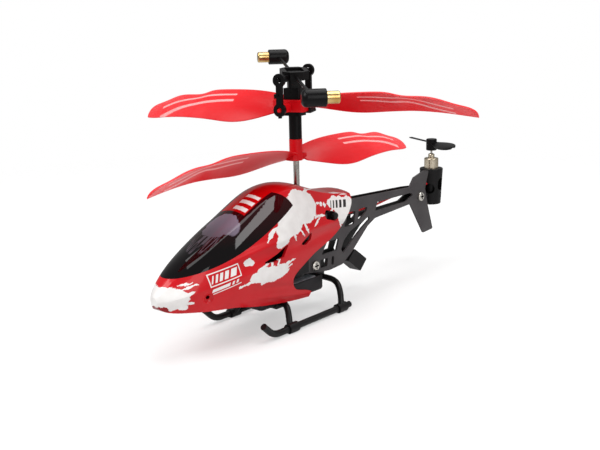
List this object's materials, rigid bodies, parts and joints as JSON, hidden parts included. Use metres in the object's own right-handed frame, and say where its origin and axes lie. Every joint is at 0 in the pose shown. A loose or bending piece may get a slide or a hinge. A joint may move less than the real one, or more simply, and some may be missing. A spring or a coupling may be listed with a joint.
{
  "type": "remote control helicopter",
  "caption": "Palm-size indoor coaxial helicopter with contra-rotating rotors, weighted flybar, clip-on cabin, skeletal side-plate boom, horizontal tail propeller and skid landing gear",
  "frame": {"origin": "on the ground plane directly below the mast", "axes": "nose along -Y, model's left side along +X, mast along +Z"},
  "size_m": [0.1282, 0.1651, 0.0917],
  "materials": {
    "body_red": "gloss red moulded cabin with white splash decoration",
    "screen_dark": "near-black maroon gloss screen",
    "frame_metal": "satin dark grey painted plate",
    "black_plastic": "satin black moulding",
    "blade_red": "slightly translucent red flexible blade plastic",
    "steel": "polished steel shaft",
    "screw_steel": "bright plated screw",
    "brass": "turned brass",
    "motor_can": "champagne plated motor can",
    "gear_white": "natural white gear plastic",
    "tray_grey": "dark grey satin plastic",
    "battery_wrap": "silver-grey foil pouch",
    "board_green": "green solder mask",
    "wire_red": "red wire insulation",
    "wire_black": "black wire insulation"
  },
  "bodies": {
    "airframe": {"cabin_shell": "body_red", "windscreen": "screen_dark", "left_frame_plate": "frame_metal", "right_frame_plate": "frame_metal", "chassis_block": "black_plastic", "upper_bearing": "brass", "lower_bearing": "brass", "canopy_peg_left": "black_plastic", "canopy_peg_right": "black_plastic", "battery_tray": "tray_grey", "battery": "battery_wrap", "circuit_board": "board_green", "board_bracket": "black_plastic", "charge_socket": "black_plastic", "front_leg": "black_plastic", "rear_leg": "black_plastic", "left_skid": "black_plastic", "right_skid": "black_plastic", "left_motor": "motor_can", "right_motor": "motor_can", "tail_bracket": "black_plastic", "tail_motor": "motor_can", "tail_wire_red": "wire_red", "tail_wire_black": "wire_black", "front_screw_left": "screw_steel", "front_screw_right": "screw_steel", "tail_screw_left": "screw_steel", "tail_screw_right": "screw_steel"},
    "lower_spin_body": {"outer_shaft": "steel", "upper_main_gear": "gear_white", "lower_rotor": "blade_red"},
    "upper_spin_body": {"inner_shaft": "steel", "lower_main_gear": "gear_white", "rotor_head": "black_plastic", "feather_pin": "steel", "seesaw_pin": "steel"},
    "flybar_body": {"flybar_ring": "black_plastic", "flybar_rod_a": "black_plastic", "flybar_rod_b": "black_plastic", "flybar_weight_a": "black_plastic", "flybar_weight_b": "black_plastic", "flybar_slug_a": "brass", "flybar_slug_b": "brass"},
    "upper_rotor_body": {"upper_rotor": "blade_red", "blade_clip_a": "black_plastic", "blade_clip_b": "black_plastic"},
    "link_a_body": {"link_a": "black_plastic"},
    "link_b_body": {"link_b": "black_plastic"},
    "left_pinion_body": {"left_pinion": "brass", "left_motor_shaft": "steel"},
    "right_pinion_body": {"right_pinion": "brass", "right_motor_shaft": "steel"},
    "tail_rotor_body": {"tail_rotor": "black_plastic", "tail_motor_shaft": "steel"}
  },
  "joints": [
    {"name": "lower_rotor_spin", "type": "hinge", "parent": "airframe", "child": "lower_spin_body", "pos_m": [0, 0, 0.0559], "axis": [0, 0, 1], "continuous": true},
    {"name": "upper_rotor_spin", "type": "hinge", "parent": "airframe", "child": "upper_spin_body", "pos_m": [0, 0, 0.074], "axis": [0, 0, 1], "continuous": true},
    {"name": "flybar_seesaw", "type": "hinge", "parent": "upper_spin_body", "child": "flybar_body", "pos_m": [0, 0, 0.0839], "axis": [0.6428, 0.766, 0], "range_deg": [-22.7, 7.3]},
    {"name": "upper_rotor_feather", "type": "hinge", "parent": "upper_spin_body", "child": "upper_rotor_body", "pos_m": [0, 0, 0.074], "axis": [0.9759, 0.2181, 0], "range_deg": [-18.33, 6.1]},
    {"name": "link_a_lift", "type": "slide", "parent": "upper_spin_body", "child": "link_a_body", "axis": [0, 0, 1], "range_m": [-0.00111, 0.00335]},
    {"name": "link_b_lift", "type": "slide", "parent": "upper_spin_body", "child": "link_b_body", "axis": [0, 0, 1], "range_m": [-0.00335, 0.00111]},
    {"name": "left_pinion_spin", "type": "hinge", "parent": "airframe", "child": "left_pinion_body", "pos_m": [0.0056, -0.00894, 0.034], "axis": [0, 0, 1], "continuous": true},
    {"name": "right_pinion_spin", "type": "hinge", "parent": "airframe", "child": "right_pinion_body", "pos_m": [-0.0056, -0.00894, 0.037], "axis": [0, 0, 1], "continuous": true},
    {"name": "tail_rotor_spin", "type": "hinge", "parent": "airframe", "child": "tail_rotor_body", "pos_m": [0, 0.088, 0.0496], "axis": [0, 0, 1], "continuous": true}
  ],
  "couplings": [
    {"joint": "left_pinion_spin", "follows": "upper_rotor_spin", "ratio": -6},
    {"joint": "right_pinion_spin", "follows": "lower_rotor_spin", "ratio": -6},
    {"joint": "upper_rotor_feather", "follows": "flybar_seesaw", "ratio": 0.79441},
    {"joint": "link_a_lift", "follows": "flybar_seesaw", "m_per_rad": -0.0083414},
    {"joint": "link_b_lift", "follows": "flybar_seesaw", "m_per_rad": 0.0083414}
  ]
}
